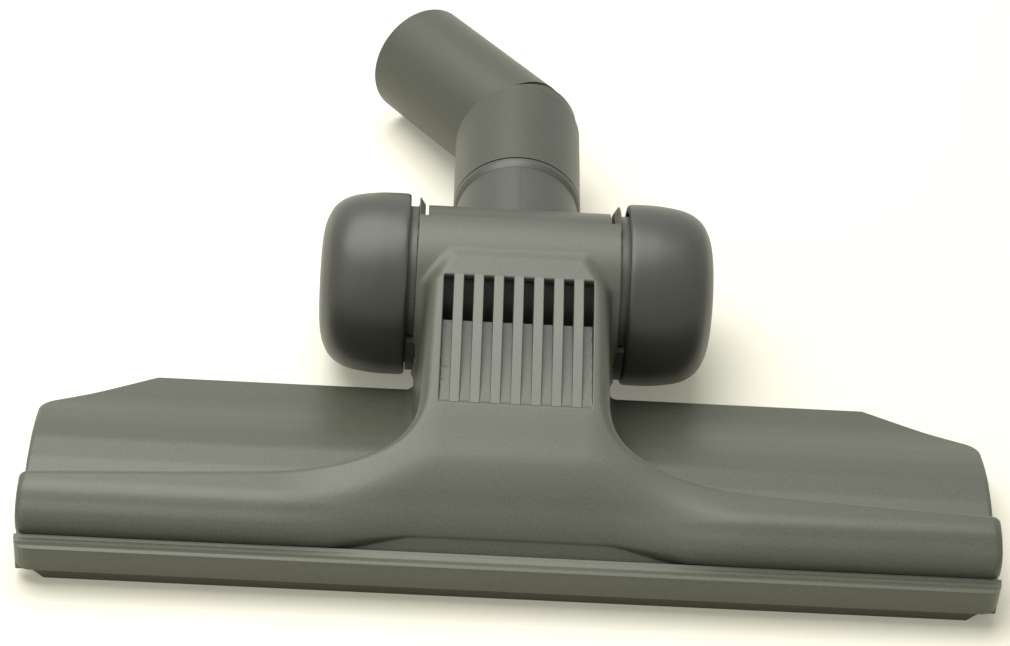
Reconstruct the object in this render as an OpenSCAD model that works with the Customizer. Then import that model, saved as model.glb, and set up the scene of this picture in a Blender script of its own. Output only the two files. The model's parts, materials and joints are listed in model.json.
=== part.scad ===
// Vacuum squeegee floor tool: wide head, rubber blades, two rollers, tilting barrel, swivel elbow.
// Millimetres, +Z up, blades to -Y, elbow to +Y.  The underside rests on Z = 0.

/* [Head] */
// width of the head across the front hump
head_width = 300; // [280:1:320]
// distance from the roller axis forward to the face of the front rail
head_reach = 113; // [108:0.5:118]
// height of the hump crest at the two ends of the head
hump_height = 27.4; // [26:0.1:30]
// wall thickness of the moulded housings
wall = 2.6; // [2.2:0.1:3]
// distance of the straight back edge of the head from the roller axis
flap_back = 28.6; // [27:0.1:31]
// half length of the straight back edge, where the corner cuts begin
flap_straight = 114; // [100:1:122]
// angle of the corner cuts at the back of the head
flap_cut_angle = 27.5; // [15:0.5:32]
// radius of the rear corners of the head
flap_corner_r = 8; // [5:0.5:12]
// how much narrower the back part is than the hump, each side
flap_step = 0.6; // [0.2:0.1:2]

/* [Neck] */
// half width of the neck at its top shoulder
neck_half = 28.5; // [27.5:0.1:29]
// half width of the neck where it meets the head
neck_base_half = 31.6; // [30.5:0.1:32]
// number of air slots in the neck
slot_count = 8; // [4:1:8]
// width of one air slot
slot_width = 3.1; // [2:0.05:3.2]
// distance between slot centres
slot_pitch = 6.32; // [5.5:0.02:6.4]
// distance of the upper slot ends from the roller axis
slot_top = 21.3; // [20:0.1:23]
// distance of the lower slot ends from the roller axis
slot_foot = 65; // [58:0.5:68]

/* [Rollers] */
// radius of the rollers
wheel_r = 29.5; // [29.2:0.1:31]
// distance of the inner roller edge from the middle plane
wheel_in = 35.25; // [35.2:0.05:36]
// width of one roller
wheel_width = 28.3; // [24:0.1:32]
// radius of the steel roller axles
axle_r = 3; // [2.5:0.1:4]
// running clearance between a shaft and its hole, on the radius
run_clear = 0.06; // [0.03:0.01:0.1]

/* [Barrel and elbow] */
// radius of the hood over the barrel
hood_r = 28.6; // [28.3:0.1:28.9]
// radius of the tilting barrel
barrel_r = 26; // [25.6:0.1:26.2]
// half length of the tilting barrel
barrel_half = 29.5; // [29:0.1:30]
// slope of the outlet below level, elbow resting on the floor
stub_drop = 1.54; // [0:0.1:3]
// outer radius of the outlet stub
stub_r = 20.3; // [20:0.1:20.8]
// distance of the elbow collar from the barrel axis
collar_at = 43; // [41:0.25:46]
// outer radius of the elbow sleeve
sleeve_r = 21.3; // [21:0.1:22]
// distance of the elbow corner from the barrel axis
corner_at = 84; // [78:0.5:90]
// bend angle of the elbow
bend_angle = 35.6; // [30:0.1:40]
// turn of the elbow about the outlet, zero with the bend upward
elbow_turn = 100.1; // [90:0.1:110]
// outer radius of the elbow tail
tail_r = 19.9; // [18.8:0.1:20]
// length of the elbow tail beyond the corner
tail_length = 60.5; // [50:0.5:70]
// radius of the wand socket
socket_r = 16; // [15.5:0.05:16.5]
// depth of the wand socket
socket_depth = 42; // [30:1:46]

/* [Blades] */
// thickness of the rubber blades
blade_t = 2.2; // [1.6:0.1:2.6]
// half length of the front blade along its foot
blade_half = 141.3; // [130:0.5:143]
// half length of the rear blade
rear_blade_half = 126; // [110:1:128]

/* [Hidden] */

$fn = 96;
eps = 0.01;
head_half = head_width / 2;
rail_y = -head_reach;
front_y = rail_y + 7;
axle_z = wheel_r;
wheel_out = wheel_in + wheel_width;
skirt_z = 6.4;
sole_t = 2.4;
sole_z = skirt_z + sole_t;
over_sole = sole_z + 0.05;
flap_half = head_half - flap_step;
rail_half = head_half;
blade_top_half = blade_half + 3.2; // half length of the front blade in its slot
blade_slot_half = blade_top_half + 0.1;
hood_in_r = barrel_r + 0.5;
cheek_in = barrel_half + 1;
cheek_out = cheek_in + 2;
boss_r = 25.4;
boss_low_r = 27.9;
boss_out = wheel_in - 0.3;
hub_out = boss_out + 8;
journal_r = 10;
stub_in_r = 17;
spigot_r = 18.2;
spigot_end = 62;
spigot_in_r = 16.2;
elbow_gap = 0.4;
cradle_edge = 53.5;
bend_r = 20.4;
screw_at = [[129, -96], [129, -57], [55, -48.5]];

// outlet direction, elbow tail direction and the farthest point at the back
stub_dir = [0, cos(stub_drop), -sin(stub_drop)];
stub_up = [0, sin(stub_drop), cos(stub_drop)];
side_dir = [-sin(elbow_turn), 0, 0] + cos(elbow_turn) * stub_up;
tail_dir = cos(bend_angle) * stub_dir + sin(bend_angle) * side_dir;
corner = [0, 0, axle_z] + corner_at * stub_dir;
tail_end = corner + tail_length * tail_dir;
back_y = tail_end[1] + tail_r * sqrt(1 - tail_dir[1] * tail_dir[1]);
mid_y = (back_y + rail_y) / 2;

function lerp(a, b, t) = a + (b - a) * t;
function unit(t) = max(0, min(1, t));
function smooth(t) = unit(t) * unit(t) * (3 - 2 * unit(t));
function curve(p, t) = pow(1 - t, 3) * p[0] + 3 * t * pow(1 - t, 2) * p[1]
    + 3 * t * t * (1 - t) * p[2] + t * t * t * p[3];
function quarter(d, r) = d < r ? r - sqrt(r * r - (r - d) * (r - d)) : 0;
function arc(c, r, a0, a1, n) =
    [for (i = [0:n]) c + r * [cos(lerp(a0, a1, i / n)), sin(lerp(a0, a1, i / n))]];

// moves a piece from the roller axis frame to the middle of the whole part
module place() {
    translate([0, -mid_y, 0]) children();
}

// sets a (y, z) outline upright and extrudes it evenly to both sides of the middle plane
module along_x(length) {
    rotate([90, 0, 90]) linear_extrude(length, center = true) children();
}

// the same from one side distance to another, to +X
module from_x(a, b) {
    translate([a, 0, 0]) rotate([90, 0, 90]) linear_extrude(b - a) children();
}

module both_sides() {
    children();
    mirror([1, 0, 0]) children();
}

module about_axle() {
    translate([0, 0, axle_z]) children();
}

// points an extrusion along the outlet, starting at the barrel axis
module along_stub() {
    about_axle() rotate([-90 - stub_drop, 0, 0]) children();
}

// points an extrusion along the elbow tail, starting at the corner
module along_tail() {
    along_stub() translate([0, 0, corner_at]) rotate([0, 0, -90 - elbow_turn]) rotate([0, bend_angle, 0])
        children();
}

// points an extrusion across the mitre of the bend, starting at the corner
module along_mitre() {
    along_stub() translate([0, 0, corner_at]) rotate([0, 0, -90 - elbow_turn])
        rotate([0, bend_angle / 2, 0]) children();
}

// skin of the hump and neck: profiles at side stations, blended into one another

// lengthwise top line of the neck in the middle plane
neck_line = [[front_y + 10.2, 26.2], [front_y + 14, 28.8], [front_y + 18, 31], [front_y + 23, 33.3],
             [-77, 35.6], [-slot_foot, 40.2], [-slot_top, 53.6], [-13.8, 54.5], [-6, 54.6]];
// lengthwise top line of the hump near its ends
hump_line = [[front_y + 4, hump_height - 1.8], [front_y + 8, hump_height - 0.4],
             [front_y + 12, hump_height], [0, hump_height]];
// front faces below those lines, near the ends and in the middle
end_front = [[front_y, 9], [front_y, 13.5], [front_y - 1, 16.8], [front_y - 0.7, 20],
             [front_y + 1, 23], [front_y + 4, hump_height - 1.8]];
mid_front = [[front_y + 3.5, 9], [front_y + 3.5, 13.5], [front_y + 3.2, 18], [front_y + 4.8, 21.2],
             [front_y + 7.2, 23.8], [front_y + 10.2, 26.2]];
skin_base = 9;
neck_end = -12;
neck_steps = [0, 0.35, 0.62, 0.85, 0.94, 0.985];
flare_steps = [0, 0.16, 0.32, 0.48, 0.64, 0.82, 1];
end_steps = [0.45, 0.94, 0.965, 0.99, 1];
row_steps = [0.16, 0.364, 0.6, 0.75, 0.893, 0.94, 0.975, 1];
// the grille fills the cells between these side and lengthwise stations
hole_side = 4;
hole_rows = [7, 10];

// shoulder line of the skin and the foot of its side wall, from the neck out along the hump
top_x = [neck_half + 0.5, neck_half + 1, 46, 100];
top_y = [-60, -80, -84, -87.3];
foot_x = [neck_base_half + 0.2, neck_base_half + 0.4, 48, 101];
foot_y = [-57, -76, -80.5, -83.5];

function station(x, y, fx, fy, is_neck) = [x, y, fx, fy, is_neck];
half_stations = concat(
    [for (f = neck_steps) station(f * neck_half, neck_end, f * neck_base_half, neck_end, 1)],
    [for (t = flare_steps)
        station(curve(top_x, t), curve(top_y, t), curve(foot_x, t), curve(foot_y, t), 0)],
    [for (f = end_steps) station(lerp(100, head_half, f), lerp(-87.3, -90.3, f),
                                 lerp(101, head_half, f), lerp(-83.5, -86.5, f), 0)]);

function side_weight(x) = 1 - smooth((x - 22) / 53);
function foot_weight(x) = 1 - unit((x - 32) / 22);
function row_weight(x, k) = lerp(foot_weight(x), side_weight(x), unit((k - 1) / 4));
function shoulder(x, y) = x > neck_half ? 0 : quarter(neck_half - x, 3.5) * unit((y + 62) / 12) * 0.8;

// one profile of the skin: station s, moved inward by t on every face
function profile(s, t, side) = let (
    x = s[0],
    cap = t > 0 ? t : quarter(head_half - x, 3),
    xi = s[4] == 1 ? x * (neck_half - t) / neck_half : x - t,
    fxi = s[4] == 1 ? s[2] * (neck_base_half - t) / neck_base_half : s[2] - t,
    y0 = lerp(end_front[5][0], mid_front[5][0], side_weight(x)) + cap,
    y1 = s[1] - cap
) concat(
    [for (k = [0:5]) [side * xi,
        lerp(end_front[k][0], mid_front[k][0], row_weight(x, k)) + cap,
        lerp(end_front[k][1], mid_front[k][1], row_weight(x, k)) - (k > 1 ? cap * (k - 1) / 4 : 0)
            ]],
    [for (g = row_steps) let (
        y = lerp(y0, y1, g),
        z = lerp(lookup(y - cap, hump_line), lookup(y - cap * unit((-80 - y) / 10), neck_line),
            side_weight(x)))
        [side * xi, y, z - cap - shoulder(x, y) - (s[4] == 1 ? 0 : quarter(y1 - y, 2.6))]],
    [[side * fxi, s[3] - cap, skin_base]]);

// the hollow moulding of hump and neck, open below
module skin_shell(t) {
    n = len(half_stations);
    outer = concat([for (i = [n - 1:-1:1]) profile(half_stations[i], 0, -1)],
                   [for (i = [0:n - 1]) profile(half_stations[i], 0, 1)]);
    inner = concat([for (i = [n - 1:-1:1]) profile(half_stations[i], t, -1)],
                   [for (i = [0:n - 1]) profile(half_stations[i], t, 1)]);
    m = len(outer);
    k = len(outer[0]);
    in0 = m * k;
    last = (m - 1) * k;
    // middle of the foot at each end, outside and inside, from which the end walls fan out
    ends = [for (r = [outer[0], outer[m - 1], inner[0], inner[m - 1]]) (r[0] + r[k - 1]) / 2];
    mid = 2 * in0;
    points = concat([for (r = outer) each r], [for (r = inner) each r], ends);
    h0 = n - 1 - hole_side;
    h1 = n - 1 + hole_side;
    j0 = hole_rows[0];
    j1 = hole_rows[1];
    walls = [for (i = [0:m - 2]) for (j = [0:k - 2]) if (i < h0 || i >= h1 || j < j0 || j >= j1) let (
        a = i * k + j,
        b = a + 1,
        c = b + k,
        d = a + k) each [[a, b, c], [a, c, d], [in0 + c, in0 + b, in0 + a], [in0 + d, in0 + c, in0 + a]]];
    rims = [for (i = [0:m - 2]) let (
        f = i * k,
        g = f + k,
        p = f + k - 1,
        q = p + k) each concat([[in0 + f, f, g], [in0 + f, g, in0 + g]],
            i < n - 1 ? [[p, in0 + p, q], [in0 + p, in0 + q, q]]
                      : [[p, in0 + p, in0 + q], [p, in0 + q, q]])];
    hole = concat([for (i = [h0:h1 - 1]) let (
            a = i * k + j0,
            b = a + k) each [[a, in0 + a, b], [in0 + a, in0 + b, b]]],
        [for (i = [h0:h1 - 1]) let (
            a = i * k + j1,
            b = a + k) each [[a, b, in0 + a], [b, in0 + b, in0 + a]]],
        [for (j = [j0:j1 - 1]) let (
            a = h0 * k + j,
            b = a + 1) each [[a, b, in0 + a], [b, in0 + b, in0 + a]]],
        [for (j = [j0:j1 - 1]) let (
            a = h1 * k + j,
            b = a + 1) each [[a, in0 + a, b], [in0 + a, in0 + b, b]]]);
    caps = concat([for (j = [0:k - 2]) each [[mid, j + 1, j], [mid + 1, last + j, last + j + 1],
            [mid + 2, in0 + j, in0 + j + 1], [mid + 3, in0 + last + j + 1, in0 + last + j]]],
        [[k - 1, mid, mid + 2], [k - 1, mid + 2, in0 + k - 1], [mid, 0, in0], [mid, in0, mid + 2],
         [last + k - 1, mid + 3, mid + 1], [last + k - 1, in0 + last + k - 1, mid + 3],
         [mid + 1, in0 + last, last], [mid + 1, mid + 3, in0 + last]]);
    polyhedron(points, concat(caps, walls, rims, hole));
}

// plan of the hump and neck at the foot of their walls, moved inward by t
module skin_plan(t) {
    right = [for (s = half_stations) if (s[4] == 0) [s[2] - t, s[3] - t]];
    polygon(concat([[neck_base_half - t, neck_end]], right, [[head_half - t, front_y + t],
        [-head_half + t, front_y + t]],
        [for (i = [len(right) - 1:-1:0]) [-right[i][0], right[i][1]]], [[-neck_base_half + t, neck_end]]));
}

// outlines of the head

flap_line = [[-93, 17], [-84, 19.2], [-77, 20.3], [-70, 20.3], [-62, 19], [-53, 16.2],
             [-45, 13.2], [-38.5, 11.3], [-flap_back, 10]];

// plan of the back part of the head, moved inward by t
module head_plan(t, front) {
    a = flap_cut_angle;
    half = flap_half - t;
    r = max(1, flap_corner_r - t);
    px = flap_straight - t * tan(a / 2);
    py = -flap_back - t;
    cx = half - r;
    cy = py - (r + (cx - px) * sin(a)) / cos(a);
    right = arc([cx, cy], r, 0, 90 - a, 6);
    polygon(concat([[half, front]], right, [[px, py], [-px, py]],
        [for (i = [len(right) - 1:-1:0]) [-right[i][0], right[i][1]]], [[-half, front]]));
}

module flap_solid(t) {
    intersection() {
        along_x(head_width) polygon(concat([[-93, skirt_z - t * 4]],
            [for (p = flap_line) [p[0], max(p[1] - t, over_sole)]],
            [[-flap_back + 2, t > 0 ? over_sole : 10], [-flap_back + 2, skirt_z - t * 4]]));
        translate([0, 0, skirt_z - 20]) linear_extrude(60) head_plan(t, -94);
    }
}

// root body

module screw_bosses(r, z0, z1) {
    both_sides() for (p = screw_at) translate([p[0], p[1], z0]) cylinder(r = r, h = z1 - z0, $fn = 32);
}

// half discs beside the barrel that carry its journals and the roller axles
module side_plates(upper) {
    s = upper ? 1 : -1;
    both_sides() about_axle() {
        from_x(cheek_in, cheek_out) difference() {
            circle(hood_r);
            circle(journal_r + run_clear);
            translate([-40, upper ? -80 : 0]) square([80, 80]);
        }
        from_x(cheek_out, boss_out) difference() {
            circle(upper ? boss_r : boss_low_r);
            circle(axle_r);
            translate([-40, upper ? -80 : 0]) square([80, 80]);
        }
        from_x(boss_out, hub_out) difference() {
            circle(8);
            circle(axle_r);
            translate([-40, upper ? -80 : 0]) square([80, 80]);
        }
    }
}

grille_edge = 0.94 * neck_half + 0.2;
ramp_end = 33;

// ribbed panel with the ramped floor of the air slots, let into the neck
module grille() {
    difference() {
        along_x(2 * grille_edge) polygon([[-slot_top + 3.6, 52.8], [-slot_top, 53.1],
            [-slot_foot - 1.3, 39.3], [-slot_foot - 1.3, 37.9], [-ramp_end, 42.1], [-ramp_end, 45.6],
            [-slot_top + 1.1, 48.8], [-slot_top + 3.6, 50.4]]);
        for (i = [0:slot_count - 1]) translate([(i - (slot_count - 1) / 2) * slot_pitch, 0, 0])
            along_x(slot_width) polygon([[-slot_top, 70], [-slot_top, 40], [-ramp_end + 0.1, 40],
                [-ramp_end + 0.1, 44.95], [-slot_foot - 1, 40], [-slot_foot - 1, 70]]);
    }
}

// hump, neck and back part of the head, open below and clear of the barrel
module head_moulding() {
    difference() {
        union() {
            skin_shell(wall);
            difference() {
                flap_solid(0);
                flap_solid(wall);
                translate([0, 0, -10]) linear_extrude(60) skin_plan(wall / 2);
            }
            // chamfer along the foot of the hump in the middle of the front
            along_x(108) polygon([[front_y, 9.2], [front_y, 14], [front_y + 3.6, 18.4],
                [front_y + 5, 18.4], [front_y + 5, 9.2]]);
        }
        about_axle() along_x(120) polygon(concat([[0, -31], [0, hood_in_r + 1]],
            arc([0, 0], hood_in_r + 1, 92, 179.4, 22),
            arc([0, 0], hood_r + 0.3, 179.4, 236, 14), [[-16, -31]]));
    }
}

// half shell over the barrel
module barrel_hood() {
    about_axle() difference() {
        along_x(2 * cheek_in + eps) difference() {
            intersection() {
                circle(hood_r);
                translate([-40, 0]) square([42, 40]);
            }
            circle(hood_in_r);
        }
        // air way from the neck to the barrel
        along_x(2 * (neck_half - wall))
            polygon([[-40, -1], [-40, 30], [-30, 30], [-19.5, 17.5], [-19.5, -1]]);
        // seat of the hood seal
        along_x(58) polygon([[-3.4, 26], [-3.4, 27.5], [0.6, 27.5], [0.6, 26]]);
    }
}

module upper_housing() {
    color("#6f7368") place() {
        head_moulding();
        grille();
        barrel_hood();
        side_plates(true);
        difference() {
            screw_bosses(3.6, sole_z, 24);
            both_sides() translate([129, -57, 15.4]) cylinder(r = 5, h = 20, $fn = 32);
            both_sides() translate([55, -48.5, 12.2]) cylinder(r = 5, h = 20, $fn = 32);
            screw_bosses(1.5, 0, 12);
        }
    }
}

module lower_housing() {
    color("#4d5048") place() difference() {
        union() {
            // sole plate with the suction slot
            translate([0, 0, skirt_z]) linear_extrude(sole_t) difference() {
                head_plan(wall + 0.1, front_y + 3.6 + wall);
                translate([-85, -97]) square([170, 13]);
            }
            // floor of the duct under the neck
            along_x(2 * neck_half) polygon([[-40, skirt_z], [-40, sole_z], [-30, sole_z], [-12, 4.8],
                [-6, 4.2], [-6, 1.8], [-12, 2.2], [-31.1, skirt_z]]);
            both_sides() from_x(neck_half - wall, neck_half) polygon([[-40, skirt_z], [-40, 9],
                [-14, 9], [-8, 5], [-12, 3], [-31.1, skirt_z]]);
            // cradle under the barrel
            about_axle() along_x(2 * cheek_in + eps) difference() {
                circle(hood_r);
                circle(hood_in_r);
                translate([-60, 0]) square([120, 60]);
                polygon([[0, 0], [80, 0], [80, -80 * tan(cradle_edge)]]);
            }
            side_plates(false);
        }
        // mouth of the duct at the barrel
        about_axle() along_x(2 * (neck_half - wall)) polygon([[0, 0], [-60, 0], [-60, -20.6],
            [-30, -20.6], [-12, -24.6], [-7.1, -25.6]]);
        about_axle() along_x(2 * cheek_in) circle(hood_in_r);
        about_axle() along_x(58) rotate(-cradle_edge)
            polygon([[26, -4.6], [27.5, -4.6], [27.5, -0.6], [26, -0.6]]);
        screw_bosses(1.7, 0, 20);
    }
}

module frame_slots() {
    // front blade slot, open below and toward the foot of the rail
    translate([-blade_slot_half, rail_y + 3.2, -1]) cube([2 * blade_slot_half, blade_t + 0.1, 13]);
    // rear blade slot with its wider bed
    translate([-rear_blade_half - 0.1, -42.2, -1]) cube([2 * rear_blade_half + 0.2, blade_t + 0.1, 10]);
    translate([-rear_blade_half - 0.1, -44.1, 5.2]) cube([2 * rear_blade_half + 0.2, 6, 5]);
}

module squeegee_frame() {
    color("#5a5e54") place() difference() {
        union() {
            intersection() {
                along_x(2 * rail_half) polygon([[rail_y, 6.6], [rail_y, 14.5], [rail_y + 0.5, 15.4],
                    [rail_y + 1.5, 15.8], [rail_y + 3.4, 15.3], [rail_y + 5, 15.4], [rail_y + 6.1, 15.8],
                    [rail_y + 6.5, 14.4], [front_y, 13.4], [front_y, skirt_z], [rail_y + 5.3, 3.6],
                    [rail_y + 3.2, 3.6], [rail_y + 3.2, 6.6]]);
                linear_extrude(40) polygon(concat(arc([rail_half - 5, rail_y + 5], 5, 0, -90, 5),
                    arc([-rail_half + 5, rail_y + 5], 5, -90, -180, 5),
                    [[-rail_half, front_y + 2], [rail_half, front_y + 2]]));
            }
            // ring plate under the sole that clamps the blades
            translate([0, 0, 3.6]) linear_extrude(skirt_z - 3.6) difference() {
                head_plan(2.6, front_y - 1);
                translate([-112, -101]) square([224, 47]);
            }
        }
        frame_slots();
        screw_bosses(1.7, 0, 20);
        screw_bosses(3.4, 0, 5.2);
    }
}

module front_blade() {
    color("#2b2a26") place() translate([0, rail_y + 3.25, 0]) rotate([90, 0, 0]) translate([0, 0, -blade_t])
        linear_extrude(blade_t) polygon([[-blade_half, 0], [blade_half, 0], [blade_top_half, 3.2],
            [blade_top_half, 11.9], [-blade_top_half, 11.9], [-blade_top_half, 3.2]]);
}

module rear_blade() {
    color("#2b2a26") place() {
        translate([-rear_blade_half, -42.15, 0]) cube([2 * rear_blade_half, blade_t, 6]);
        translate([-rear_blade_half, -44, 5.2]) cube([2 * rear_blade_half, 5.8, 1.2]);
    }
}

module base_screws() {
    color("#b9bcc0") place() both_sides() for (p = screw_at) translate([p[0], p[1], 0]) difference() {
        union() {
            translate([0, 0, 3.8]) cylinder(r = 3.1, h = 1.4, $fn = 32);
            translate([0, 0, 3.8]) cylinder(r = 1.5, h = 8, $fn = 32);
        }
        translate([-1.9, -0.35, 3]) cube([3.8, 0.7, 1.7]);
        translate([-0.35, -1.9, 3]) cube([0.7, 3.8, 1.7]);
    }
}

module hood_seal() {
    color("#3a3a3c") place() about_axle() along_x(57.6) difference() {
        polygon([[-3.3, 20], [-3.3, 27.4], [0.5, 27.4], [0.5, 20]]);
        circle(barrel_r + 0.3);
    }
}

module cradle_seal() {
    color("#3a3a3c") place() about_axle() along_x(57.6) rotate(-cradle_edge) difference() {
        polygon([[20, -4.5], [27.4, -4.5], [27.4, -0.7], [20, -0.7]]);
        circle(barrel_r + 0.3);
    }
}

module axle(side) {
    color("#c9ccd0") place() about_axle() mirror([side < 0 ? 1 : 0, 0, 0]) rotate([0, 90, 0]) difference() {
        translate([0, 0, cheek_out + 0.2]) cylinder(r = axle_r, h = wheel_out - 2.4 - cheek_out);
        // groove for the clip
        translate([0, 0, wheel_out - 3.9]) rotate_extrude() translate([axle_r - 0.5, 0]) square([2, 0.9]);
    }
}
module left_axle() { axle(-1); }
module right_axle() { axle(1); }

module axle_clip(side) {
    color("#9da1a6") place() about_axle() mirror([side < 0 ? 1 : 0, 0, 0])
        translate([wheel_out - 3.85, 0, 0]) rotate([0, 90, 0]) difference() {
            cylinder(r = 5, h = 0.8);
            translate([0, 0, -1]) cylinder(r = axle_r - 0.5, h = 3);
            translate([0, -2, -1]) cube([8, 4, 3]);
        }
}
module left_axle_clip() { axle_clip(-1); }
module right_axle_clip() { axle_clip(1); }

// barrel body

module tilt_barrel() {
    color("#5f635a") place() difference() {
        union() {
            about_axle() along_x(2 * barrel_half) circle(barrel_r);
            about_axle() along_x(2 * (cheek_out - 0.3)) circle(journal_r);
            along_stub() cylinder(r = stub_r, h = collar_at - elbow_gap);
            along_stub() cylinder(r = spigot_r, h = spigot_end);
        }
        about_axle() along_x(2 * (barrel_half - 2.4)) circle(barrel_r - 2.4);
        along_stub() cylinder(r = spigot_in_r, h = spigot_end + 1);
        along_stub() cylinder(r = stub_in_r, h = 38);
        // window toward the neck
        about_axle() along_x(48) polygon([[0, 0], [-40 * cos(12), 40 * sin(12)], [-40, -10],
            [-40 * cos(58), -40 * sin(58)]]);
        // grooves for the seal and the retaining ring
        along_stub() translate([0, 0, 47]) rotate_extrude() translate([spigot_r - 1, 0]) square([3, 2]);
        along_stub() translate([0, 0, 56]) rotate_extrude() translate([spigot_r - 0.9, 0]) square([3, 1.6]);
    }
}

module swivel_seal() {
    color("#26262a") place() along_stub() translate([0, 0, 47.1]) rotate_extrude()
        translate([spigot_r - 1, 0]) square([0.95, 1.8]);
}

module swivel_ring() {
    color("#a7abb0") place() along_stub() translate([0, 0, 56.1]) difference() {
        rotate_extrude() translate([spigot_r - 0.9, 0]) square([1.5, 1.4]);
        translate([0, -1.5, -1]) cube([30, 3, 4]);
    }
}

// elbow body

module swivel_elbow() {
    color("#6a6e63") place() difference() {
        union() {
            // sleeve and rounded corner, cut off along the mitre of the bend
            intersection() {
                along_stub() union() {
                    translate([0, 0, collar_at]) cylinder(r = sleeve_r, h = corner_at - collar_at - 2.4);
                    translate([0, 0, corner_at - 6]) cylinder(r = bend_r - 0.15, h = 10);
                    translate([0, 0, corner_at]) sphere(r = bend_r);
                }
                along_mitre() translate([-40, -40, -80]) cube([80, 80, 80]);
            }
            along_tail() cylinder(r = tail_r, h = tail_length);
        }
        // bearing bore around the spigot, with room for the retaining ring
        along_stub() translate([0, 0, collar_at - 1])
            cylinder(r = spigot_r + run_clear, h = spigot_end - collar_at + 2.5);
        along_stub() translate([0, 0, 55.4]) cylinder(r = spigot_r + 1, h = 2.8);
        // air way round the corner
        along_stub() translate([0, 0, 60]) cylinder(r = 16, h = corner_at - 60);
        along_stub() translate([0, 0, corner_at]) sphere(r = 16.2);
        along_tail() cylinder(r = 15, h = tail_length);
        along_tail() translate([0, 0, tail_length - socket_depth])
            cylinder(r = socket_r, h = socket_depth + 1);
        along_tail() translate([0, 0, tail_length - 1.2])
            cylinder(r1 = socket_r, r2 = socket_r + 1.3, h = 1.3);
    }
}

// rollers

module wheel(side) {
    color("#565951") place() about_axle() mirror([side < 0 ? 1 : 0, 0, 0]) rotate([0, 90, 0]) difference() {
        rotate_extrude() polygon([[axle_r + 1.6, wheel_out - 3],
            [axle_r + 5, wheel_out], [14, wheel_out - 0.3], [18.3, wheel_out - 1], [21.6, wheel_out - 2.2],
            [24.6, wheel_out - 4.1], [27, wheel_out - 7.3], [28.4, wheel_out - 11.4],
            [29.3, wheel_out - 17.6], [wheel_r, wheel_out - 23], [29.4, wheel_in + 1], [28.7, wheel_in],
            [27.2, wheel_in], [27.2, wheel_in + 10], [26, wheel_out - 11.6], [24.2, wheel_out - 8],
            [20.5, wheel_out - 4.8], [14, wheel_out - 3.4], [9, wheel_out - 3.2], [7.4, wheel_out - 6],
            [7.4, hub_out + 0.6], [axle_r + 1.6, hub_out + 0.6]]);
        translate([0, 0, wheel_out - 4.4]) cylinder(r = 6, h = 3);
    }
}
module left_wheel() { wheel(-1); }
module right_wheel() { wheel(1); }

module wheel_bush(side) {
    color("#d8d5c8") place() about_axle() mirror([side < 0 ? 1 : 0, 0, 0])
        translate([hub_out + 0.6, 0, 0]) rotate([0, 90, 0]) rotate_extrude()
            translate([axle_r + run_clear, 0]) square([1.6 - run_clear, wheel_out - 4.6 - hub_out - 0.6]);
}
module left_wheel_bush() { wheel_bush(-1); }
module right_wheel_bush() { wheel_bush(1); }

upper_housing();
lower_housing();
squeegee_frame();
front_blade();
rear_blade();
base_screws();
hood_seal();
cradle_seal();
left_axle();
right_axle();
left_axle_clip();
right_axle_clip();
tilt_barrel();
swivel_seal();
swivel_ring();
swivel_elbow();
left_wheel();
right_wheel();
left_wheel_bush();
right_wheel_bush();
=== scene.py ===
import json
import math
from itertools import product

import bmesh
import bpy
import numpy as np
from mathutils import Matrix, Vector


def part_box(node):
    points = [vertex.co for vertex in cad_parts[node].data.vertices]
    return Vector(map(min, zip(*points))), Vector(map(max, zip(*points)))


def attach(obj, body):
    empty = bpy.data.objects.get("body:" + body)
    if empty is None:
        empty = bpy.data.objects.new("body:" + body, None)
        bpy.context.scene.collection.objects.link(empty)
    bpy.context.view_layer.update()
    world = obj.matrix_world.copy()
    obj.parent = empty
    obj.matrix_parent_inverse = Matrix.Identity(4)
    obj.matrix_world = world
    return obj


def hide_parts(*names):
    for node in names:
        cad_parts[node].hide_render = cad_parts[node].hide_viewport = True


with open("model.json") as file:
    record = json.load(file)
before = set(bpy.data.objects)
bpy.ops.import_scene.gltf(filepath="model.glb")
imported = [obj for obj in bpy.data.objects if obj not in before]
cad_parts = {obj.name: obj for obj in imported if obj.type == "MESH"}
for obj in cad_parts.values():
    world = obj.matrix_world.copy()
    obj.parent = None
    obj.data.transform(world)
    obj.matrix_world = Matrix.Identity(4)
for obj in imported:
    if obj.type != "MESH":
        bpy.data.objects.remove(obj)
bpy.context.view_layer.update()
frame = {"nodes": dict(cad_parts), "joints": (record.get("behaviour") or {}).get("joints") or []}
MM = 0.001

# Shapes are worked out in millimetres from the roller axis: X along the head, +Y to the elbow, Z up from the floor.
tilt = next(j for j in frame["joints"] if j["name"] == "barrel_tilt")
swivel = next(j for j in frame["joints"] if j["name"] == "elbow_swivel")
AXIS_Y = tilt["pos_m"][1] / MM
AXIS_Z = tilt["pos_m"][2] / MM
OUTLET = np.array(swivel["axis"])
OUTLET_UP = np.cross((1, 0, 0), OUTLET)


def size(node, axis, end):
    """Where a CAD node ends along an axis, in millimetres from the roller axis."""
    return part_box(node)[end][axis] / MM - (AXIS_Y if axis == 1 else 0)


HEAD_HALF = size("upper_housing", 0, 1)
RAIL_Y = size("squeegee_frame", 1, 0)
FRONT_Y = RAIL_Y + 7
HOOD_R = size("upper_housing", 2, 1) - AXIS_Z
BARREL_R = HOOD_R - 2.6
CHEEK_IN = 30.5
ROLLER_IN = size("right_wheel", 0, 0)
ROLLER_OUT = size("right_wheel", 0, 1)
WALL = 2.6
NECK_HALF = 28.5
SKIRT_Z = 6.4
SOLE_TOP = 8.8


# measuring and shaping

def unit(t):
    return np.clip(t, 0.0, 1.0)


def lerp(a, b, t):
    return a + (b - a) * t


def ease(t):
    return unit(t) ** 2 * (3 - 2 * unit(t))


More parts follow.
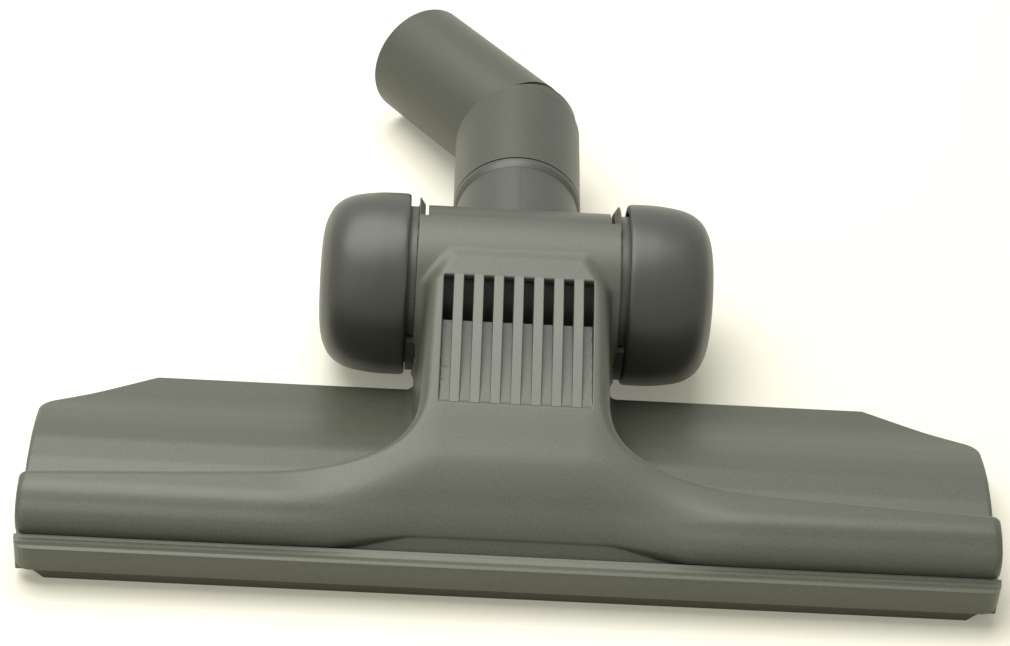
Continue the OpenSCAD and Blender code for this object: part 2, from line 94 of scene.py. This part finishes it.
def curve_through(*points):
    """A smooth line through points without overshoot, and straight on beyond its ends."""
    px, py = np.array(points, float).T
    gap = np.diff(px)
    rise = np.diff(py) / gap
    steep = rise[:-1] + rise[1:]
    lean = np.concatenate([rise[:1], np.where(
        rise[:-1] * rise[1:] > 0, 2 * rise[:-1] * rise[1:] / np.where(steep == 0, 1, steep), 0), rise[-1:]])

    def at(x):
        i = np.clip(np.searchsorted(px, x) - 1, 0, len(gap) - 1)
        t = unit((x - px[i]) / gap[i])
        y = (py[i] * (1 + 2 * t) + gap[i] * lean[i] * t) * (1 - t) ** 2
        y = y + (py[i + 1] * (3 - 2 * t) + gap[i] * lean[i + 1] * (t - 1)) * t ** 2
        return y + lean[0] * np.minimum(x - px[0], 0) + lean[-1] * np.maximum(x - px[-1], 0)
    return at


def bezier(a, b, c, d, count):
    t = np.linspace(0, 1, count)[:, None]
    a, b, c, d = (np.array(p, float) for p in (a, b, c, d))
    return (1 - t) ** 3 * a + 3 * t * (1 - t) ** 2 * b + 3 * t * t * (1 - t) * c + t ** 3 * d


def smooth_path(points, steps=6):
    """Points along a smooth curve through the given ones."""
    p = np.array([points[0], *points, points[-1]], float)
    t = np.linspace(0, 1, steps, endpoint=False)[:, None]
    parts = [(2 * b + (c - a) * t + (2 * a - 5 * b + 4 * c - d) * t ** 2 + (3 * b - a - 3 * c + d) * t ** 3) / 2
             for a, b, c, d in zip(p, p[1:], p[2:], p[3:])]
    return np.vstack(parts + [p[-1:]])


def arc(centre, radius, start, end, count):
    turn = np.radians(np.linspace(start, end, count))[:, None]
    return np.array(centre) + radius * np.hstack([np.cos(turn), np.sin(turn)])


def inside_outline(outline):
    """Distance to a closed flat outline, negative inside it."""
    starts = np.array(outline, float)
    ends = np.roll(starts, -1, axis=0)

    def at(u, v):
        u, v = np.broadcast_arrays(u, v)
        nearest = np.full(u.shape, np.inf)
        within = np.zeros(u.shape, bool)
        for (au, av), (bu, bv) in zip(starts, ends):
            eu, ev = bu - au, bv - av
            t = unit(((u - au) * eu + (v - av) * ev) / (eu * eu + ev * ev))
            nearest = np.minimum(nearest, np.hypot(u - au - t * eu, v - av - t * ev))
            if ev:
                within ^= ((av > v) != (bv > v)) & (u < au + (v - av) * eu / ev)
        return np.where(within, -nearest, nearest)
    return at


def both(a, b, r=0.0):
    """What lies inside two shapes, with its edge rounded to radius r."""
    if np.ndim(r) == 0 and r <= 0:
        return np.maximum(a, b)
    return np.minimum(-r, np.maximum(a, b)) + np.hypot(np.maximum(a + r, 0), np.maximum(b + r, 0))


def either(a, b, r=0.0):
    """What lies inside one of two shapes, with the corner between them filled to radius r."""
    return -both(-a, -b, r)


def mesh_over(name, shape, xs, ys, zs, most=None, soft=0.3):
    """A mesh on the surface where shape(x, y, z) is zero, found on a grid and then moved onto it."""
    grid = [np.asarray(g, float) for g in (xs, ys, zs)]
    value = shape(grid[0][:, None, None], grid[1][None, :, None], grid[2][None, None, :])
    value = np.broadcast_to(value, [len(g) for g in grid])
    solid = value < 0
    cells = [n - 1 for n in value.shape]

    def corner(block, at):
        return block[at[0]:at[0] + cells[0], at[1]:at[1] + cells[1], at[2]:at[2] + cells[2]]

    filled = sum(corner(solid, at).astype(np.int8) for at in product((0, 1), repeat=3))
    mixed = (filled > 0) & (filled < 8)
    where = np.argwhere(mixed)
    total = np.zeros((len(where), 3))
    hits = np.zeros(len(where))
    for a in product((0, 1), repeat=3):
        for axis in range(3):
            if a[axis]:
                continue
            b = tuple(a[i] + (i == axis) for i in range(3))
            ia, ib = (where + a).T, (where + b).T
            va, vb = value[tuple(ia)], value[tuple(ib)]
            cut = (va < 0) != (vb < 0)
            t = va / np.where(cut, va - vb, 1)
            for k in range(3):
                total[:, k] += np.where(cut, lerp(grid[k][ia[k]], grid[k][ib[k]], t), 0)
            hits += cut
    points = total / hits[:, None]
    number = np.full(mixed.shape, -1)
    number[mixed] = np.arange(len(where))

    faces = []
    for axis in range(3):
        u, v = [k for k in range(3) if k != axis]
        one = [slice(1, -1)] * 3
        two = [slice(1, -1)] * 3
        one[axis], two[axis] = slice(0, -1), slice(1, None)
        change = solid[tuple(one)].astype(np.int8) - solid[tuple(two)]
        at = np.argwhere(change)
        out = change[tuple(at.T)] > 0
        at[:, u] += 1
        at[:, v] += 1
        ring = []
        for du, dv in ((1, 1), (0, 1), (0, 0), (1, 0)):
            cell = at.copy()
            cell[:, u] -= du
            cell[:, v] -= dv
            ring.append(number[tuple(cell.T)])
        ring = np.array(ring).T
        if axis == 1:
            out = ~out
        faces.append(np.where(out[:, None], ring, ring[:, ::-1]))
    faces = np.vstack(faces)

    points = settle(shape, points)
    mesh = bpy.data.meshes.new(name)
    mesh.vertices.add(len(points))
    mesh.vertices.foreach_set("co", points.ravel())
    mesh.loops.add(faces.size)
    mesh.loops.foreach_set("vertex_index", faces.ravel())
    mesh.polygons.add(len(faces))
    mesh.polygons.foreach_set("loop_start", np.arange(0, faces.size, 4))
    mesh.update(calc_edges=True)
    mesh.validate()
    piece = bpy.data.objects.new(name, mesh)
    bpy.context.scene.collection.objects.link(piece)
    if most and 2 * len(faces) > most:
        thin = piece.modifiers.new("thin", "DECIMATE")
        thin.ratio = most / (2 * len(faces))
        ready = piece.evaluated_get(bpy.context.evaluated_depsgraph_get())
        piece.data = bpy.data.meshes.new_from_object(ready)
        piece.modifiers.clear()
        mesh = piece.data
        points = np.empty(len(mesh.vertices) * 3)
        mesh.vertices.foreach_get("co", points)
        points = settle(shape, points.reshape(-1, 3))
    lean = slope(shape, points, soft)
    lean /= np.linalg.norm(lean, axis=1)[:, None] + 1e-9
    mesh.vertices.foreach_set("co", ((points + (0, AXIS_Y, 0)) * MM).ravel())
    mesh.polygons.foreach_set("use_smooth", np.ones(len(mesh.polygons), bool))
    mesh.update()
    mesh.normals_split_custom_set_from_vertices(lean)
    return piece


def slope(shape, points, reach):
    """Which way a shape's value rises fastest, measured over a short reach."""
    steps = np.eye(3) * reach
    return np.stack([shape(*(points + s).T) - shape(*(points - s).T) for s in steps], axis=1) / (2 * reach)


def settle(shape, points, rounds=3):
    """Moves points onto the surface of a shape, by at most 0.4 mm at a time."""
    for _ in range(rounds):
        up = slope(shape, points, 0.02)
        move = shape(*points.T)[:, None] * up / np.maximum((up ** 2).sum(1), 0.2)[:, None]
        far = np.linalg.norm(move, axis=1)[:, None]
        points = points - move * np.minimum(1, 0.4 / np.maximum(far, 1e-9))
    return points


def solid(name, points, faces, sharp_deg=30):
    """A closed mesh from points in millimetres, smooth but for edges sharper than an angle."""
    mesh = bpy.data.meshes.new(name)
    mesh.from_pydata(((np.array(points) + (0, AXIS_Y, 0)) * MM).tolist(), [], faces)
    shape = bmesh.new()
    shape.from_mesh(mesh)
    bmesh.ops.recalc_face_normals(shape, faces=shape.faces)
    shape.to_mesh(mesh)
    shape.free()
    mesh.polygons.foreach_set("use_smooth", np.ones(len(mesh.polygons), bool))
    mesh.set_sharp_from_angle(angle=math.radians(sharp_deg))
    piece = bpy.data.objects.new(name, mesh)
    bpy.context.scene.collection.objects.link(piece)
    return piece


def lathe(name, outline, axis, turns=160):
    """Turns an outline of (radius, distance along the axis) points about a line through the barrel's axis."""
    side = np.cross(axis, (0, 0, 1.0))
    side /= np.linalg.norm(side)
    up = np.cross(side, axis)
    n = len(outline)
    points = []
    for a in np.linspace(0, 2 * np.pi, turns, endpoint=False):
        out = np.cos(a) * side + np.sin(a) * up
        points += [(0, 0, AXIS_Z) + r * out + along * np.array(axis, float) for r, along in outline]
    faces = [(i * n + j, i * n + (j + 1) % n, (i + 1) % turns * n + (j + 1) % n, (i + 1) % turns * n + j)
             for i in range(turns) for j in range(n)]
    return solid(name, points, faces)


def prism(name, outline, x0, x1):
    """An outline of (y, z) points drawn out from x0 to x1."""
    n = len(outline)
    points = [(x, y, z) for x in (x0, x1) for y, z in outline]
    faces = [tuple(range(n)), tuple(range(n, 2 * n))] + [(j, (j + 1) % n, n + (j + 1) % n, n + j) for j in range(n)]
    return solid(name, points, faces)


def soften(piece, width_mm, angle_deg=32):
    edge = piece.modifiers.new("edge", "BEVEL")
    edge.width = width_mm * MM
    edge.segments = 2
    edge.limit_method = "ANGLE"
    edge.angle_limit = math.radians(angle_deg)
    edge.harden_normals = True


def fit(piece, finish, body, node=None):
    """Gives a piece its finish and its place in the model."""
    piece.data.materials.append(finish)
    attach(piece, body)
    if node:
        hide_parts(node)


# finishes

def colour(code):
    """An sRGB hex colour as the linear values that the shader takes."""
    parts = [int(code[i:i + 2], 16) / 255 for i in (1, 3, 5)]
    return [c / 12.92 if c <= 0.04045 else ((c + 0.055) / 1.055) ** 2.4 for c in parts] + [1.0]


def add(tree, kind, settings=(), **links):
    """Adds a shader node, sets its properties and sockets, and joins its sockets to other nodes' outputs."""
    made = tree.nodes.new(kind)
    for key, value in dict(settings).items():
        if isinstance(key, str) and hasattr(made, key):
            setattr(made, key, value)
        else:
            made.inputs[key].default_value = value
    for key, source in links.items():
        tree.links.new(source, made.inputs[int(key[1:])] if key[0] == "i" and key[1:].isdigit() else made.inputs[key])
    return made


def new_finish(name):
    finish = bpy.data.materials.new(name)
    finish.use_nodes = True
    finish.node_tree.nodes.clear()
    return finish, finish.node_tree


def moulded(name, base, speck, roughness, grain_mm, relief, coat=0.0):
    """Moulded plastic: an even colour with fine specks, and a bump as fine as the texture of the mould."""
    finish, tree = new_finish(name)
    place = add(tree, "ShaderNodeTexCoord").outputs["Object"]
    grain = add(tree, "ShaderNodeTexNoise", {"Scale": 1 / (grain_mm * MM), "Detail": 2.0, "Roughness": 0.6}, Vector=place)
    tone = add(tree, "ShaderNodeMix", {"data_type": "RGBA", 6: colour(base), 7: colour(speck)},
               Factor=add(tree, "ShaderNodeMapRange", {1: 0.35, 2: 0.65}, Value=grain.outputs["Fac"]).outputs[0])
    skin = add(tree, "ShaderNodeBump", {"Strength": relief, "Distance": 0.05 * MM}, Height=grain.outputs["Fac"])
    shader = add(tree, "ShaderNodeBsdfPrincipled", {"Roughness": roughness, "IOR": 1.5, "Coat Weight": coat})
    tree.links.new(tone.outputs[2], shader.inputs["Base Color"])
    tree.links.new(skin.outputs["Normal"], shader.inputs["Normal"])
    out = add(tree, "ShaderNodeOutputMaterial")
    tree.links.new(shader.outputs[0], out.inputs["Surface"])
    return finish


def plain(name, base, roughness, metallic=0.0):
    finish, tree = new_finish(name)
    shader = add(tree, "ShaderNodeBsdfPrincipled", {"Base Color": colour(base), "Roughness": roughness, "Metallic": metallic})
    out = add(tree, "ShaderNodeOutputMaterial")
    tree.links.new(shader.outputs[0], out.inputs["Surface"])
    return finish


# ABS, spark-eroded mould: a warm dark grey with a fine matt sparkle
housing_abs = moulded("spark_eroded_abs", "#484a41", "#55574b", 0.42, 0.5, 0.35)
# the same plastic on the grille ribs, its colour painted lighter as a painted highlight on the rib tops, and with a
# smoother finish
painted_highlight_rib_abs = moulded("rib_painted_highlight_abs", "#56584f", "#5e6056", 0.36, 0.6, 0.1)
# a smooth mould: the rollers show longer and softer highlights
roller_abs = moulded("smooth_abs", "#383932", "#3e3f37", 0.40, 0.6, 0.08)
barrel_abs = moulded("barrel_abs", "#42443d", "#4b4d44", 0.42, 0.5, 0.3)
elbow_abs = moulded("elbow_abs", "#3f4138", "#494b40", 0.44, 0.5, 0.3)
frame_abs = moulded("rail_abs", "#53554a", "#5d5f52", 0.40, 0.5, 0.2)
base_abs = moulded("base_abs", "#3d3e37", "#464840", 0.5, 0.5, 0.3)
# rubber with chalk in it: a dull brown grey
blade_rubber = plain("nitrile_rubber", "#57564a", 0.6)
felt = plain("pressed_felt", "#262624", 0.95)
zinc_steel = plain("zinc_plated_steel", "#b9bcc0", 0.32, 1.0)
nylon = plain("natural_nylon", "#d8d5c8", 0.45)


# the head's one moulding: hump, neck with the air slots, back part and the hood over the barrel

neck_top = curve_through((FRONT_Y + 10.2, 26.2), (FRONT_Y + 14, 28.8), (FRONT_Y + 18, 31), (FRONT_Y + 23, 33.3),
                         (-77, 35.6), (-65, 40.2), (-21.3, 53.6), (-13.8, 54.5), (-6, 54.6))
hump_top = curve_through((FRONT_Y + 4, 25.6), (FRONT_Y + 8, 27), (FRONT_Y + 12, 27.4), (0, 27.4))
end_front = curve_through((9, FRONT_Y), (13.5, FRONT_Y), (16.8, FRONT_Y - 1), (20, FRONT_Y - 0.7),
                          (23, FRONT_Y + 1), (25.6, FRONT_Y + 4))
mid_front = curve_through((9, FRONT_Y + 3.5), (13.5, FRONT_Y + 3.5), (18, FRONT_Y + 3.2), (21.2, FRONT_Y + 4.8),
                          (23.8, FRONT_Y + 7.2), (26.2, FRONT_Y + 10.2))
back_top = curve_through((-93, 17), (-84, 19.2), (-77, 20.3), (-70, 20.3), (-62, 19), (-53, 16.2),
                         (-45, 13.2), (-38.5, 11.3), (-28.6, 10))
FAR = 400.0
shoulder_plan = inside_outline(np.vstack([
    [[-FAR, -12], [21.4, -12], [NECK_HALF, -22]],
    bezier((29, -60), (29.5, -80), (46, -84), (100, -87.3), 24),
    [[HEAD_HALF, -90.3], [FAR, -96], [FAR, -FAR], [-FAR, -FAR]]]))
FLAP_HALF = HEAD_HALF - 0.6
BACK_Y = -28.6
CUT = math.radians(27.5)
cut_start = 114
corner_x = FLAP_HALF - 8
corner_y = BACK_Y - (8 + (corner_x - cut_start) * math.sin(CUT)) / math.cos(CUT)
back_plan = inside_outline(np.vstack([
    [[-FAR, -94], [FLAP_HALF, -94]], arc((corner_x, corner_y), 8, 0, 62.5, 10),
    [[cut_start, BACK_Y], [-FAR, BACK_Y]]]))
SLOTS = 8
SLOT_PITCH = 6.32
SLOT_WIDTH = 3.1
SLOTS_HALF = (SLOTS * SLOT_PITCH - SLOT_PITCH + SLOT_WIDTH) / 2
SLOT_TOP = -21.3
SLOT_FOOT = -65.2
RAMP_END = -32.9
RAMP_RISE = 0.15
SCREWS = ((129, -96), (129, -57), (55, -48.5))


def hump_and_neck(x, y, z):
    ax = np.abs(x)
    neckness = 1 - ease((ax - 22) / 53)
    foot_neckness = 1 - unit((ax - 32) / 22)
    top = lerp(hump_top(y), neck_top(y), neckness)
    ahead = lerp(hump_top(y + 0.5), neck_top(y + 0.5), neckness)
    roof = (z - top) / np.hypot(1, (ahead - top) / 0.5)
    row = lerp(foot_neckness, neckness, unit((z - 13.5) / 12.1))
    face = lerp(end_front(z), mid_front(z), row)
    above = lerp(end_front(z + 0.5), mid_front(z + 0.5), row)
    front = (face - y) / np.hypot(1, (above - face) / 0.5)
    flare = lerp(3.8, 3.1, neckness) * np.clip((top - z) / (top - 9), 0, 1.3)
    side = shoulder_plan(ax, y) - flare
    body = both(roof, side, lerp(2.6, 3.5, neckness))
    body = both(body, front, 2.8)
    return both(body, ax - HEAD_HALF, 3)


def back_part(x, y, z):
    return both((z - back_top(y)) * 0.97, back_plan(np.abs(x), y), 1.2)


def front_chamfer(x, y, z):
    ax = np.abs(x)
    slant = ((FRONT_Y - y) * 4.4 + (z - 14) * 3.6) / math.hypot(4.4, 3.6)
    ends = ((ax - 33) * 4.8 + (z - 18.4) * 25) / math.hypot(4.8, 25)
    return np.maximum.reduce(np.broadcast_arrays(FRONT_Y - y, slant, ends, z - 18.4, y - FRONT_Y - 5, ax - 58))


def round_axis(y, z, r):
    return np.hypot(y, z - AXIS_Z) - r


def upper_moulding(x, y, z):
    ax = np.abs(x)
    outside = either(hump_and_neck(x, y, z), back_part(x, y, z), 2.4)
    outside = np.minimum(outside, front_chamfer(x, y, z))
    hood = np.maximum(both(round_axis(y, z, HOOD_R), ax - CHEEK_IN - 2, 0.4), y - 2)
    whole = both(either(outside, hood, 3.5), ax - HEAD_HALF, 0.5)
    shell = np.maximum(whole, -(whole + WALL))
    for sx, sy in SCREWS:
        post = np.hypot(ax - sx, y - sy) - 3.6
        shell = np.minimum(shell, np.maximum.reduce(np.broadcast_arrays(post, SOLE_TOP - z, outside + 1)))
    ramp = 44.75 + (y - RAMP_END) * RAMP_RISE
    panel = np.maximum.reduce(np.broadcast_arrays(ax - 26, outside, ramp - WALL - z, y - RAMP_END, -66.3 - y))
    shell = np.minimum(shell, panel)
    shell = np.maximum(shell, np.where((z < SOLE_TOP + 0.2) & (y < -94), 9, SKIRT_Z) - z)
    clear_r = np.where(z > AXIS_Z, BARREL_R + 0.5, HOOD_R + 0.3)
    shell = np.maximum(shell, clear_r - np.hypot(y, z - AXIS_Z))
    shell = np.maximum(shell, np.minimum(np.minimum(y + 16, AXIS_Z + 0.3 - z), 60 - ax))
    window = np.maximum.reduce(np.broadcast_arrays(
        ax - SLOTS_HALF, y - SLOT_TOP, SLOT_FOOT - y, np.where(y > RAMP_END, 35 - z, ramp - z)))
    shell = both(shell, -window, 0.3)
    ear = both(round_axis(y, z, HOOD_R), np.abs(ax - CHEEK_IN - 1) - 1, 0.3)
    slant = (np.hypot(y, z - AXIS_Z) - HOOD_R + 1.5 * (CHEEK_IN + 1.7 - ax)) / 1.8
    ear = np.maximum(ear, np.where(y > 1.6, slant, ear))
    cheeks = np.minimum.reduce(np.broadcast_arrays(
        ear,
        both(round_axis(y, z, 25.4), np.abs(ax - 33.7) - 1.25, 0.4),
        np.maximum(round_axis(y, z, 8), np.abs(ax - 38.7) - 4.25)))
    bore = np.where(ax < CHEEK_IN + 2, 10.06, 3.0) - np.hypot(y, z - AXIS_Z)
    cheeks = np.maximum.reduce(np.broadcast_arrays(cheeks, bore, AXIS_Z - z))
    return np.minimum(shell, cheeks)


def steps(*stations):
    """Grid lines from station to station: (start, step), (start, step) ... (end,)."""
    lines = []
    for (a, step), b in zip(stations, stations[1:]):
        lines.append(np.arange(a, b[0] - step / 2, step))
    return np.concatenate(lines + [[stations[-1][0]]])


half_x = steps((0, 0.8), (23.0, 0.2), (24.4, 0.65), (30, 0.35), (35.6, 1.25), (144, 0.7), (152.1,))
head_x = np.concatenate([-half_x[:0:-1], half_x])
head_y = steps((FRONT_Y - 1.9, 0.6), (-92, 0.85), (-20, 0.9), (30,))
head_z = steps((5.6, 0.62), (30, 0.8), (60,))

housing = mesh_over("head_moulding", upper_moulding, head_x, head_y, head_z, most=190000)
fit(housing, housing_abs, "head", "upper_housing")

rib_rows = np.linspace(SLOT_FOOT - 0.4, SLOT_TOP + 0.5, 28)
rib_outline = [(y, neck_top(y)) for y in rib_rows] + [
    (SLOT_TOP + 0.5, 50), (RAMP_END, 45.6), (RAMP_END, 43.5), (SLOT_FOOT - 0.4, 38.8)]
for i in range(SLOTS - 1):
    middle = (i - (SLOTS - 2) / 2) * SLOT_PITCH
    half = (SLOT_PITCH - SLOT_WIDTH) / 2
    rib = prism("grille_rib_%d" % (i + 1), rib_outline, middle - half, middle + half)
    soften(rib, 0.3, 50)
    # the ribs take the lighter colour: painted highlight on their tops
    fit(rib, painted_highlight_rib_abs, "head")


# rollers: one smooth curve from the hub over the rounded shoulder to the inner rim

def roller_outline():
    out, hub = ROLLER_OUT, ROLLER_IN + 8.3
    skin = smooth_path([(8, out), (14, out - 0.3), (18.3, out - 1), (21.6, out - 2.2), (24.6, out - 4.1),
                        (27, out - 7.3), (28.4, out - 11.4), (29.3, out - 17.6), (29.5, out - 23),
                        (29.4, ROLLER_IN + 1), (28.7, ROLLER_IN)])
    inside = [(27.2, ROLLER_IN), (27.2, ROLLER_IN + 10), (26, out - 11.6), (24.2, out - 8), (20.5, out - 4.8),
              (14, out - 3.4), (9, out - 3.2), (7.4, out - 6), (7.4, hub), (4.6, hub), (4.6, out - 4.4),
              (6, out - 4.4), (6, out - 1.76)]
    return [tuple(p) for p in skin] + inside


for side, way in (("left", -1.0), ("right", 1.0)):
    roller = lathe(side + "_roller_shell", roller_outline(), (way, 0, 0))
    fit(roller, roller_abs, side + "_roller", side + "_wheel")
    boss = lathe(side + "_boss_face", [(7, 34.5), (25.4, 34.5), (25.4, 36.6), (24.8, 37), (7, 37)], (way, 0, 0))
    fit(boss, base_abs, "head")

# rim of the outlet against the elbow's sleeve, and the parting line along the top of the outlet
rim = lathe("outlet_rim", [(20.1, 39), (20.35, 39), (21.1, 40.3), (21.3, 41), (21.3, 42.4), (21.1, 42.6), (20.1, 42.6)],
            OUTLET)
fit(rim, barrel_abs, "barrel")
seam_line = [(0, 0, AXIS_Z) + along * OUTLET + r * OUTLET_UP for along, r in ((14, 20), (14, 20.55), (39.8, 20.55), (39.8, 20))]
seam = prism("outlet_seam", [tuple(p[1:]) for p in seam_line], -0.3, 0.3)
fit(seam, barrel_abs, "barrel")


# the other CAD pieces keep their shape and get their finish and soft edges

def dress(node, finish, edge_mm=0.25):
    piece = frame["nodes"][node]
    piece.data.materials.clear()
    piece.data.materials.append(finish)
    for face in piece.data.polygons:
        face.use_smooth = True
    soften(piece, edge_mm)


for node, finish in {
    "lower_housing": base_abs, "squeegee_frame": frame_abs, "front_blade": blade_rubber, "rear_blade": blade_rubber,
    "base_screws": zinc_steel, "hood_seal": felt, "cradle_seal": felt, "left_axle": zinc_steel,
    "right_axle": zinc_steel, "left_axle_clip": zinc_steel, "right_axle_clip": zinc_steel,
    "tilt_barrel": barrel_abs, "swivel_seal": blade_rubber, "swivel_ring": zinc_steel,
    "swivel_elbow": elbow_abs, "left_wheel_bush": nylon, "right_wheel_bush": nylon,
}.items():
    dress(node, finish)


# room, light and camera

def stand(name, kind, **settings):
    data = bpy.data.lights.new(name, kind)
    for key, value in settings.items():
        setattr(data, key, value)
    lamp = bpy.data.objects.new(name, data)
    bpy.context.scene.collection.objects.link(lamp)
    return lamp


def aim(thing, place, target, roll=0.0):
    """Puts a lamp or camera at a place, pointed at a target, and rolls it about its own line of sight."""
    look = (Vector(target) - Vector(place)).to_track_quat("-Z", "Y").to_matrix().to_4x4()
    thing.matrix_world = Matrix.Translation(place) @ look @ Matrix.Rotation(math.radians(roll), 4, "Z")


def seen_directly(tree):
    """1 where the camera sees a surface, straight or in gloss and glass, and 0 for the light that it throws."""
    path = add(tree, "ShaderNodeLightPath")
    gloss = add(tree, "ShaderNodeMath", {"operation": "MAXIMUM"},
                i0=path.outputs["Is Glossy Ray"], i1=path.outputs["Is Transmission Ray"])
    return add(tree, "ShaderNodeMath", {"operation": "MAXIMUM"},
               i0=path.outputs["Is Camera Ray"], i1=gloss.outputs[0]).outputs[0]


overhead = stand("overhead_softbox", "AREA", energy=27, shape="RECTANGLE", size=1.4, size_y=1.2, color=(1, 1, 0.95))
aim(overhead, (-0.35, 0.3, 1.3), (0, -0.02, 0.02))
side_box = stand("side_softbox", "AREA", energy=2.5, shape="RECTANGLE", size=0.9, size_y=0.9, color=(1, 1, 0.93))
aim(side_box, (-0.9, -0.9, 0.9), (0, -0.02, 0.02))

world = bpy.data.worlds.new("studio")
bpy.context.scene.world = world
world.use_nodes = True
room = world.node_tree
room.nodes.clear()
seen = seen_directly(room)
dim = add(room, "ShaderNodeBackground", {"Color": colour("#efeed8"), "Strength": 0.27})
bright = add(room, "ShaderNodeBackground", {"Color": (1, 1, 1, 1), "Strength": 1.0})
blend = add(room, "ShaderNodeMixShader", {}, i0=seen, i1=dim.outputs[0], i2=bright.outputs[0])
world_out = add(room, "ShaderNodeOutputWorld")
room.links.new(blend.outputs[0], world_out.inputs["Surface"])

floor_mesh = bpy.data.meshes.new("studio_floor")
REACH = 3.0
floor_mesh.from_pydata([(-REACH, -REACH, 0), (REACH, -REACH, 0), (REACH, REACH, 0), (-REACH, REACH, 0)], [], [(0, 1, 2, 3)])
floor = bpy.data.objects.new("studio_floor", floor_mesh)
bpy.context.scene.collection.objects.link(floor)
card, card_tree = new_finish("white_card")
matt = add(card_tree, "ShaderNodeBsdfDiffuse", {"Color": colour("#e8e6dc")})
lift = add(card_tree, "ShaderNodeEmission", {"Color": colour("#fffbe6"), "Strength": 0.2})
lit = add(card_tree, "ShaderNodeAddShader", {}, i0=matt.outputs[0], i1=lift.outputs[0])
card_mix = add(card_tree, "ShaderNodeMixShader", {}, i0=seen_directly(card_tree), i1=matt.outputs[0], i2=lit.outputs[0])
card_out = add(card_tree, "ShaderNodeOutputMaterial")
card_tree.links.new(card_mix.outputs[0], card_out.inputs["Surface"])
floor.data.materials.append(card)

lens = bpy.data.cameras.new("camera")
lens.lens = 109.97
lens.sensor_width = 36
lens.clip_start = 0.05
camera = bpy.data.objects.new("camera", lens)
bpy.context.scene.collection.objects.link(camera)
aim(camera, (-0.03069, AXIS_Y * MM - 0.7535, 0.69444), (-0.00269, AXIS_Y * MM - 0.00055, 0.015), 4.24)
bpy.context.scene.camera = camera
bpy.context.scene.view_settings.view_transform = "Standard"
